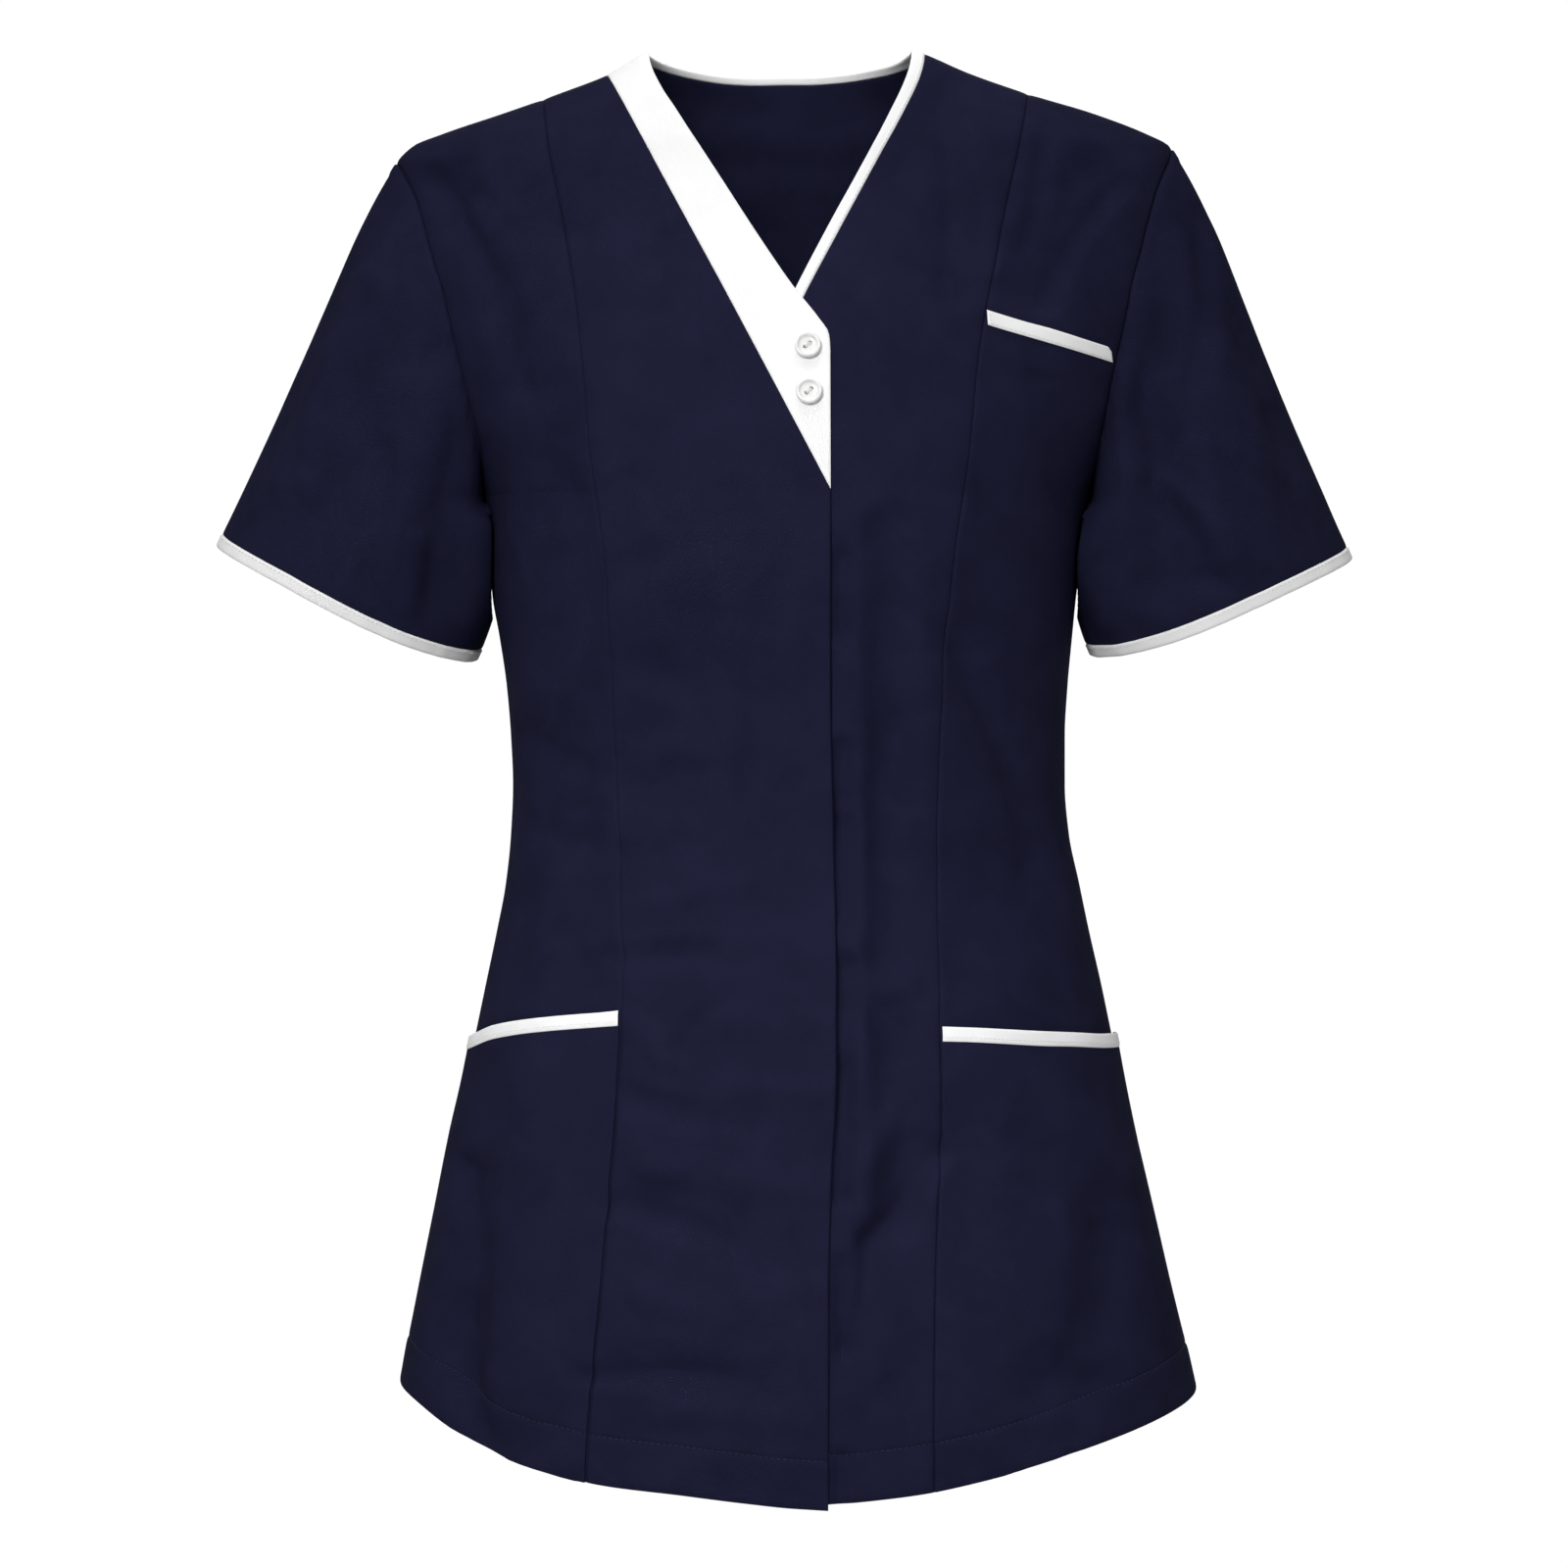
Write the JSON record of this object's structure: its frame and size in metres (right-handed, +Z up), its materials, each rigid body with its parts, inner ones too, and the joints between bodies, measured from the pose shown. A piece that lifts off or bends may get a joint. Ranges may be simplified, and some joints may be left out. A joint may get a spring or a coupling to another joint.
{
  "type": "tunic top",
  "caption": "Short-sleeved V-neck tunic top with a wide neck band, narrow neck and cuff bindings, a chest welt pocket and hip pockets, hollow as worn.",
  "frame": {"origin": "midway between the two points where the shoulder seams meet the neck, where the wearer's shoulders carry the top", "axes": "+X to the wearer's left, -Y to the wearer's front, +Z up"},
  "size_m": [0.556, 0.2482, 0.7025],
  "materials": {
    "navy_twill": "matte navy blue cotton-blend twill",
    "white_twill": "matte white cotton-blend twill, folded double",
    "white_button": "smooth white resin, semi-gloss"
  },
  "bodies": {
    "root": {"front_right": "navy_twill", "front_left": "navy_twill", "side_front_right": "navy_twill", "side_front_left": "navy_twill", "back": "navy_twill", "side_back_right": "navy_twill", "side_back_left": "navy_twill", "sleeve_right": "navy_twill", "sleeve_left": "navy_twill", "cuff_binding_right": "white_twill", "cuff_binding_left": "white_twill", "neck_band": "white_twill", "neck_binding_left": "white_twill", "neck_binding_back": "white_twill", "hip_pocket_right": "navy_twill", "hip_pocket_left": "navy_twill", "hip_trim_right": "white_twill", "hip_trim_left": "white_twill", "chest_welt": "white_twill", "chest_pocket_bag": "navy_twill", "button_1": "white_button", "button_2": "white_button"}
  },
  "joints": []
}
